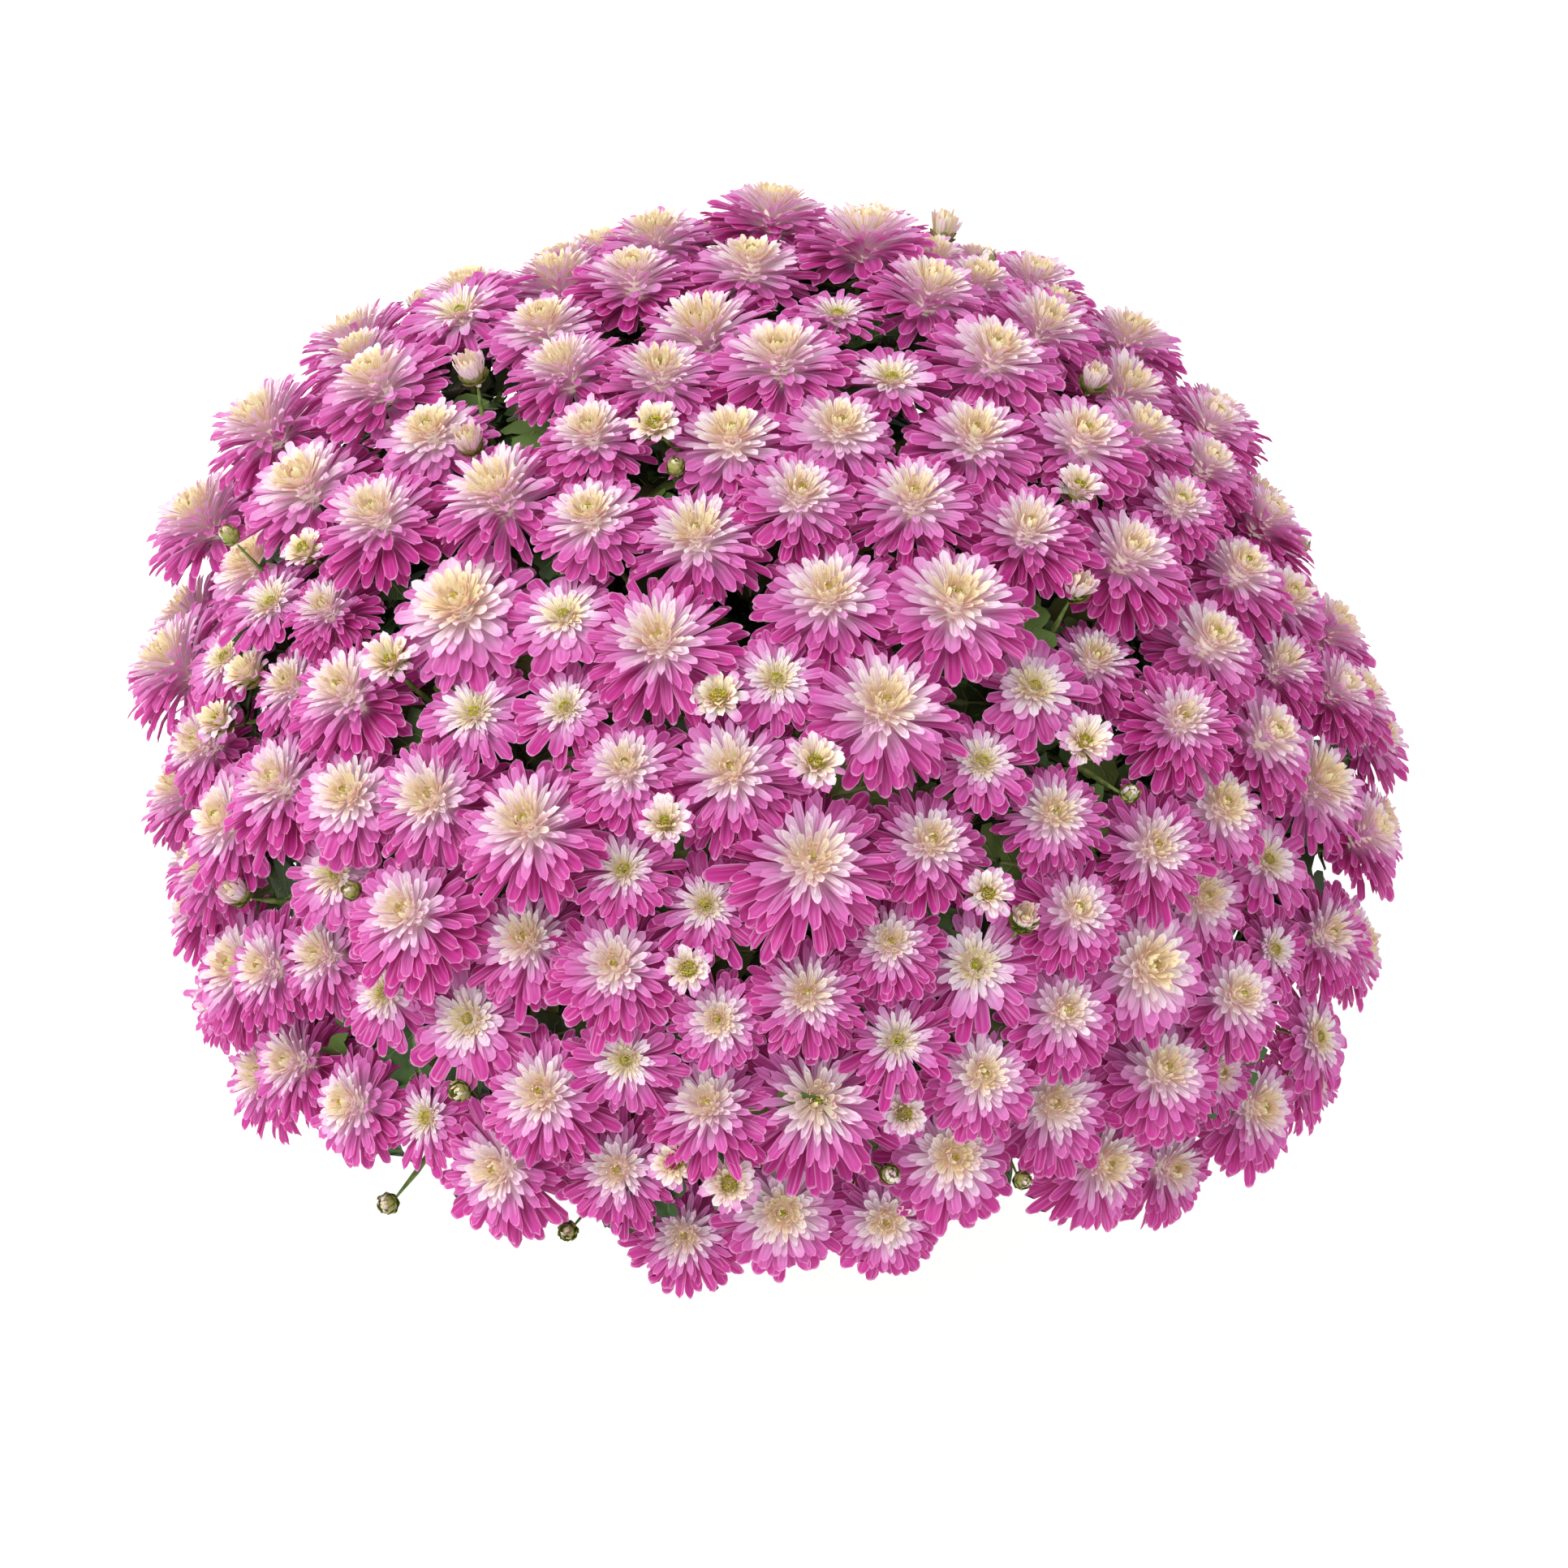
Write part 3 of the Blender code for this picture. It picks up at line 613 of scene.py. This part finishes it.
OPEN_RINGS = [
    (15, 1.10, 0.10, 0.06, 0.03, 18, 0.30, 0.9, 0.28, 0.00, "broad"),
    (14, 0.97, 0.21, 0.07, 0.06, 17, 0.28, 0.9, 0.35, 0.08, "broad"),
    (14, 0.78, 0.30, 0.08, 0.10, 14, 0.235, 1.0, 0.5, 0.20, "broad"),
    (15, 0.60, 0.35, 0.09, 0.14, 12, 0.17, 1.1, 0.9, 0.38, "middle"),
    (16, 0.48, 0.37, 0.10, 0.17, 8, 0.12, 1.2, 1.1, 0.58, "middle"),
    (17, 0.39, 0.37, 0.11, 0.20, 4, 0.10, 1.3, 1.2, 0.72, "slim"),
    (17, 0.31, 0.36, 0.11, 0.22, -12, 0.085, 1.3, 1.2, 0.84, "slim"),
    (17, 0.23, 0.36, 0.11, 0.24, -34, 0.08, 1.3, 1.2, 0.94, "slim"),
    (14, 0.17, 0.35, 0.10, 0.25, -44, 0.075, 1.3, 1.2, 1.02, "slim"),
]
CUP_RINGS = [
    (9, 1.30, 0.90, 0.14, 0.20, 34, 0.52, 1.0, 0.5, 0.80, "middle"),
    (10, 1.16, 1.14, 0.15, 0.20, 30, 0.46, 1.0, 0.6, 1.12, "middle"),
    (11, 0.94, 1.30, 0.15, 0.22, 22, 0.38, 1.1, 0.8, 1.12, "middle"),
    (12, 0.72, 1.36, 0.15, 0.24, 12, 0.28, 1.1, 0.9, 1.10, "slim"),
    (12, 0.52, 1.34, 0.15, 0.26, 0, 0.22, 1.1, 1.0, 1.10, "slim"),
]
SIDE_RINGS = [
    (9, 0.74, 1.62, 0.12, 0.20, -24, 0.50, 1.1, 1.1, 0.98, "middle"),
    (10, 0.62, 1.74, 0.12, 0.22, -26, 0.44, 1.1, 1.1, 1.00, "middle"),
    (9, 0.44, 1.80, 0.10, 0.24, -30, 0.36, 1.1, 1.1, 1.00, "slim"),
    (7, 0.24, 1.78, 0.08, 0.26, -36, 0.30, 1.1, 1.1, 1.00, "slim"),
]
BUD_RINGS = [(8, 0.16, 1.86, 0.06, 0.16, -58, 0.56, 0.9, 0.9, 0.86, "slim")]
HEAD_RINGS = {"full": FULL_RINGS, "open": OPEN_RINGS, "cup": CUP_RINGS, "side": SIDE_RINGS, "bud": BUD_RINGS}
# The green base under a head, as rings of scales; those of cups and buds clasp them.
BIG_SCALES = [(7, 0.34, 0.06, 0.02, -0.10, 22, 0.17, 0.9, 0.6, 0.4, "slim")]
CUP_SCALES = [
    (8, 0.86, 0.62, 0.06, 0.02, -22, 0.62, 1.0, 0.8, 0.2, "slim"),
    (8, 0.84, 0.94, 0.08, 0.04, -30, 0.56, 1.0, 0.8, 0.6, "slim"),
]
BUD_SCALES = [
    (7, 0.92, 0.80, 0.06, 0.00, -40, 0.80, 1.0, 0.8, 0.1, "slim"),
    (7, 0.80, 1.30, 0.08, 0.04, -52, 0.76, 1.0, 0.8, 0.4, "slim"),
    (7, 0.46, 1.72, 0.10, 0.06, -62, 0.72, 1.0, 0.8, 0.8, "slim"),
]
HEAD_SCALES = {
    "full": BIG_SCALES, "open": BIG_SCALES, "cup": CUP_SCALES, "side": CUP_SCALES, "bud": BUD_SCALES,
}
# The knob of florets at the heart of a head: its radius, its height as a share of half the head's
# width, and the number of florets.
HEAD_EYE = {"full": (0.0012, 0.72, 12), "open": (0.0021, 0.37, 40), "cup": (0.0027, 1.14, 40)}
YOUNG_WIDEST = 0.03
RING_TURN = 2.4


def ring_rows(rng, which, rings, loose):
    """One row of numbers for each petal of the given heads, gathered by grid.

    Loose is how far the petals stray from their ring: 1 for petals, less for green scales.
    """
    rows = {name: [] for name in PETAL_GRIDS}
    for i in which:
        half, turn = width[i] / 2, rng.uniform(0, 2 * math.pi)
        flat = 1 - 0.13 * head_age[i] * loose
        youth = np.clip(0.30 - 0.75 * head_age[i], 0, 1) * (width[i] > YOUNG_WIDEST)
        for number, r1, z1, r0, z0, bow, broad, furl0, furl1, mark, grid in rings[kind[i]]:
            turn += RING_TURN
            sway = rng.normal(0, loose, (7, number))
            a = turn + (np.arange(number) + 0.22 * sway[0]) * 2 * math.pi / number
            slope = math.atan2((z1 - z0) * flat, r1 - r0) + (0.055 + 0.06 * mark) * sway[1]
            slope = slope + 0.04 * head_age[i] * loose * (mark > 0.6)
            bend = np.radians(bow * (1 + 0.22 * sway[2]) - 3.0 * head_age[i] * loose)
            bend = np.where(np.abs(bend) < 0.01, 0.01, bend)
            length = math.hypot(r1 - r0, (z1 - z0) * flat) * bend / np.sin(bend) * (1 + 0.06 * sway[3])
            breadth = half * broad * (1 - 0.14 * youth) * (1 + 0.10 * sway[4])
            furl_tip = (furl1 + 0.5 * youth) * (1 + 0.35 * np.clip(sway[5], -2, 2))
            roll, tip = 0.26 * sway[6], rng.uniform(0.5, 1.9, number) * (1 + 0.7 * youth)
            row = (
                i, a, half * length, breadth, slope + bend, slope - bend, furl0, furl_tip,
                half * r0, half * z0, mark, roll, tip, rng.uniform(0, 1, number),
            )
            rows[grid].append(np.stack([n * np.ones(number) for n in row], -1))
    return {grid: np.concatenate(found) for grid, found in rows.items() if found}


def petals(rows, grid):
    """Petals of one grid: each runs out along a bowed rib, with its sides furled up."""
    t, breadth, pull, cols = (np.array(row) for row in PETAL_GRIDS[grid])
    head = rows[:, 0].astype(int)
    numbers = (row[:, None] for row in rows[:, 1:].T)
    a, length, broad, low, high, furl0, furl1, ring, rise, mark, roll, tip, own = numbers
    axis, side = facing[head], head_side[head]
    out = np.cos(a) * side + np.sin(a) * np.cross(axis, side)
    around = np.cross(axis, out)
    bend = low + (high - low) * (t[1:] + t[:-1]) / 2
    steps = np.diff(t) * length
    start = np.zeros((len(rows), 1))
    r = ring + np.concatenate([start, np.cumsum(steps * np.cos(bend), 1)], 1)
    z = rise + np.concatenate([start, np.cumsum(steps * np.sin(bend), 1)], 1)
    bend = (low + (high - low) * t)[..., None]
    run = np.cos(bend) * out[:, None] + np.sin(bend) * axis[:, None]
    up = np.cos(bend) * axis[:, None] - np.sin(bend) * out[:, None]
    twist = (roll * t)[..., None]
    beside = np.cos(twist) * around[:, None] + np.sin(twist) * up
    up = np.cos(twist) * up - np.sin(twist) * around[:, None]
    s = np.linspace(-1, 1, cols)
    furl = (furl0 + (furl1 - furl0) * t)[..., None]
    w = (broad / 2 * breadth)[..., None]
    sideways = w * np.sin(furl * s) / furl
    lift = w * (1 - np.cos(furl * s)) / furl
    if cols == 5:  # a broad petal has a raised midrib between two grooves
        lift = lift + w * 0.14 * (np.abs(s) < 0.1) * np.sin(math.pi * np.clip(t, 0.05, 0.95))[:, None]
    back = -(broad * tip * 0.25 * pull)[..., None] * s ** 2
    rib = base[head][:, None] + r[..., None] * out[:, None] + z[..., None] * axis[:, None]
    points = rib[:, :, None] + sideways[..., None] * beside[:, :, None]
    points = points + lift[..., None] * up[:, :, None] + back[..., None] * run[:, :, None]
    place, tones = np.zeros(points.shape), np.zeros(points.shape)
    place[..., 0], place[..., 1], place[..., 2] = t[:, None], s, mark[..., None]
    tones[..., 0], tones[..., 1] = own[..., None], head_tone_and_light[head][:, None, None]
    tones[..., 2] = (r / width[head][:, None] * 2)[..., None]
    return points, grid_faces(len(rows), len(t), cols), place, tones


def hearts(rng, which):
    """Knobs of unopened florets, set in a spiral on a low dome in the middle of each head."""
    parts = []
    for i in which:
        if kind[i] in HEAD_EYE:
            r, up, number = HEAD_EYE[kind[i]]
            n = np.arange(number)
            polar, a = np.sqrt((n + 0.5) / number) * 1.25, n * GOLDEN
            d = (np.sin(polar) * np.cos(a))[:, None] * head_side[i]
            d = d + (np.sin(polar) * np.sin(a))[:, None] * np.cross(facing[i], head_side[i])
            middle = base[i] + facing[i] * (width[i] / 2 * up - r)
            knob = np.full(number, r * 1.6 / math.sqrt(number))
            parts.append(crumbs(rng, middle + (d + np.cos(polar)[:, None] * facing[i]) * r, knob, 4))
    return parts


def petal_finish(name, through, painted_glow):
    """Petal skin: pink at a head's rim, cream at its heart, with some light coming through and a painted
    glow in its own colour.
    """
    skin_of = Finish(name, {"Roughness": 0.6, "Specular IOR Level": 0.2})
    along, across, ring = skin_of.mark("petal_place")
    own, head, spread = skin_of.mark("petal_tone")
    edge = abs(across)
    drawn_out = {0: across * 3.2 + own * 60.0, 1: along * 0.8, 2: ring * 9.0}
    streak = skin_of.noise(skin_of.add("CombineXYZ", {}, drawn_out), 1.0, 2.0, 0.5)
    drawn_out = {0: across * 14.0 + own * 90.0, 1: along * 1.5}
    fine = skin_of.noise(skin_of.add("CombineXYZ", {}, drawn_out), 1.0, 2.0, 0.5)
    depth = ring * 0.60 + (1 - spread) * 0.55
    # The head's tone also carries painted light: heads that face the lamp come out paler.
    depth = depth + (own - 0.5) * 0.14 - (head - 0.5) * 0.28 + (streak - 0.5) * 0.20
    skin = skin_of.add("ValToRGB", {"stops": [
        (0.00, tint(190, 58, 146)), (0.12, tint(203, 82, 166)), (0.27, tint(216, 118, 194)),
        (0.41, tint(231, 170, 222)), (0.54, tint(244, 224, 242)), (0.68, tint(248, 247, 248)),
        (0.84, tint(253, 255, 233)), (1.00, tint(252, 255, 198)),
    ]}, {0: depth})
    pinkness = depth.rise(0.52, 0.10)
    groove = edge.rise(0.10, 0.40) * edge.rise(0.78, 0.46) * along.rise(0.15, 0.45) * along.rise(1.0, 0.76)
    skin = skin_of.mix(groove * pinkness * 0.55, skin, tint(178, 30, 122))
    skin = skin_of.mix(streak.rise(0.50, 0.70) * pinkness * 0.50, skin, tint(164, 12, 108))
    skin = skin_of.mix(streak.rise(0.46, 0.30) * pinkness * 0.45, skin, tint(238, 176, 220))
    skin = skin_of.mix(fine.rise(0.50, 0.80) * pinkness * 0.22, skin, tint(170, 40, 126))
    # Partly painted shade: the lower part of each pink petal, where it passes under the ring above, is
    # darkened to deep magenta; partly the petals' own darker foot.
    skin = skin_of.mix(along.rise(0.80, 0.40) * pinkness * 0.70, skin, tint(160, 6, 96))
    skin = skin_of.mix(along.rise(0.40, 0.05) * depth.rise(0.2, 0.5) * 0.7, skin, tint(254, 240, 238))
    rim = skin_of.add("Math", {"operation": "MAXIMUM"}, {0: edge.rise(0.80, 1.0), 1: along.rise(0.95, 1.0)})
    skin = skin_of.mix(rim * pinkness * 0.58, skin, tint(242, 196, 232))
    skin_of.wear(skin, None, streak * 0.6 - groove * 0.6, 0.0006, 0.7)
    # Painted light: the skin glows faintly in its own colour, most on the cream florets, to lighten their
    # shade.
    skin_of.feed(skin_of.shader.inputs["Emission Color"], skin)
    skin_of.shader.inputs["Emission Strength"].default_value = painted_glow
    skin_of.material.cycles.emission_sampling = "NONE"
    glow = skin_of.add("BsdfTranslucent", {}, {0: through})
    lit = skin_of.add("MixShader", {}, {0: 0.28, 1: Value(skin_of, skin_of.shader.outputs[0]), 2: glow})
    skin_of.feed(skin_of.nodes["Material Output"].inputs[0], lit)
    return skin_of


# The first is the skin of every petal, the second that of the cone of florets in the middle.
ray = petal_finish("ray_pink", tint(228, 90, 172), 0.05)
floret = petal_finish("floret_cream", tint(244, 248, 242), 0.21)

stalk = Finish("pedicel_green", {"Roughness": 0.6, "Specular IOR Level": 0.3})
along, _, which = stalk.mark("stem_place")
place = stalk.own_place()
down = stalk.noise(place, 300.0, 3.0)
green = stalk.mix(down.rise(0.3, 0.7), tint(84, 110, 48), tint(128, 150, 78))
scale = stalk.mix(along.rise(0.3, 1.0), tint(124, 148, 50), tint(158, 158, 92))
scale = stalk.mix(along.rise(0.86, 1.0) * 0.6, scale, tint(150, 116, 74))
stalk.wear(stalk.mix(which.rise(0.02, 0.08), green, scale), None, down, 0.0004, 0.6)

eye = Finish("bloom_eye", {"Roughness": 0.6, "Specular IOR Level": 0.3})
place = eye.own_place()
pollen = eye.noise(place, 700.0, 2.0)
olive = eye.mix(pollen.rise(0.35, 0.65), tint(134, 130, 20), tint(186, 174, 48))
eye.wear(olive, None, pollen, 0.0005, 0.8)

# Blooms high on the left, which face the lamp, are painted paler as painted light; tone and age differ from
# head to head.
bloom = np.random.RandomState(2024)
not_along = np.where(np.abs(facing[:, 2:3]) < 0.9, [0.31, -0.22, 0.92], [1.0, 0.2, 0.0])
head_side = unit(np.cross(facing, not_along))
# Painted light: heads facing up and to the left, toward the lamp, get a paler tone.
painted_light = np.clip(bearing @ unit(np.array([-0.45, 0.15, 0.88])), 0, 1) ** 2
head_tone_and_light = np.clip(0.62 + 0.17 * bloom.normal(0, 1, count) - 0.50 * painted_light, -0.2, 1)
head_age = np.clip(bloom.normal(0, 1, count), -1.8, 1.8)
for s in range(SPRAYS):
    mine = np.nonzero(owner == s)[0]
    n = len(mine)
    name = "spray_%02d" % (s + 1)
    grown = ring_rows(bloom, mine, HEAD_RINGS, 1.0)
    parts = [petals(rows, grid) for grid, rows in grown.items()]
    piece(name + "_rays", parts, ray, [name], ["petal_place", "petal_tone"])
    # A cone of packed florets closes the middle of each head.
    tall = width[mine] * np.where(kind[mine] == "full", 0.29, 0.12)
    low, top = base[mine] - facing[mine] * 0.001, base[mine] + facing[mine] * tall[:, None]
    girth = width[mine][:, None] * np.array([0.05, 0.085, 0.08, 0.03])
    points, faces, marks = tubes(bent(low, top, np.zeros((n, 3)), 4), girth, 7)
    packed = (points, faces, marks * 0 + [0.1, 0, 0.8], marks * 0 + [0.5, 0.5, 0.2])
    piece(name + "_florets", [packed], floret, [name], ["petal_place", "petal_tone"])
    lean = bloom.normal(0, 0.0022, (n, 3)) + 0.003 * sprays[s]
    pedicels = bent(foot[mine], base[mine] + facing[mine] * 0.001, lean, 5)
    parts = [tubes(pedicels, tapered(0.0012, 0.0011, n, 5), 5)]
    ends = [(HEART + sprays[s] * reach)[None] for reach in (STALK_LOW, STALK_HIGH)]
    parts.append(tubes(bent(*ends, np.zeros((1, 3)), 7), tapered(0.0023, 0.0019, 1, 7), 8))
    parts += [petals(rows, grid)[:3] for grid, rows in ring_rows(bloom, mine, HEAD_SCALES, 0.4).items()]
    piece(name + "_pedicels", parts, stalk, [name], ["stem_place"])
    found = hearts(bloom, mine)
    if found:
        piece(name + "_hearts", found, eye, [name], smooth=False)


# Studio: a white floor that runs out of sight, even white light all round and one large soft
# lamp above, in front and to the left.
floor = bpy.data.meshes.new("floor")
floor.from_pydata([(-6, -6, 0), (6, -6, 0), (6, 6, 0), (-6, 6, 0)], [], [(0, 1, 2, 3)])
floor = bpy.data.objects.new("floor", floor)
bpy.context.scene.collection.objects.link(floor)
white = Finish("floor_white", {
    "Base Color": (0.25, 0.25, 0.25, 1), "Roughness": 0.9,
    "Emission Color": (1, 1, 1, 1), "Emission Strength": 0.92,
})
floor.data.materials.append(white.material)

world = bpy.data.worlds.new("studio")
bpy.context.scene.world = world
world.use_nodes = True
world.node_tree.nodes["Background"].inputs[0].default_value = (1, 1, 1, 1)
world.node_tree.nodes["Background"].inputs[1].default_value = 0.93

light = bpy.data.lights.new("key_lamp", "AREA")
light.size, light.energy = 1.6, 33
key_lamp = bpy.data.objects.new("key_lamp", light)
key_lamp.location = (-1.0, -0.9, 1.9)
key_lamp.rotation_euler = (Vector(HEART) - key_lamp.location).to_track_quat("-Z", "Y").to_euler()
bpy.context.scene.collection.objects.link(key_lamp)


# Camera: 36 degrees above the level and 1.7 m from the plant's heart, on a short telephoto lens.
ELEVATION = math.radians(36)
DISTANCE = 1.7
camera = bpy.data.objects.new("camera", bpy.data.cameras.new("camera"))
bpy.context.scene.collection.objects.link(camera)
camera.data.lens = 105.7
camera.data.sensor_width = 36
camera.data.clip_start = 0.05
camera.location = Vector(HEART) + DISTANCE * Vector((0, -math.cos(ELEVATION), math.sin(ELEVATION)))
aim = Vector((0.0048, 0.0060, 0.1582))
camera.rotation_euler = (aim - camera.location).to_track_quat("-Z", "Y").to_euler()
bpy.context.scene.camera = camera
bpy.context.scene.view_settings.view_transform = "Standard"
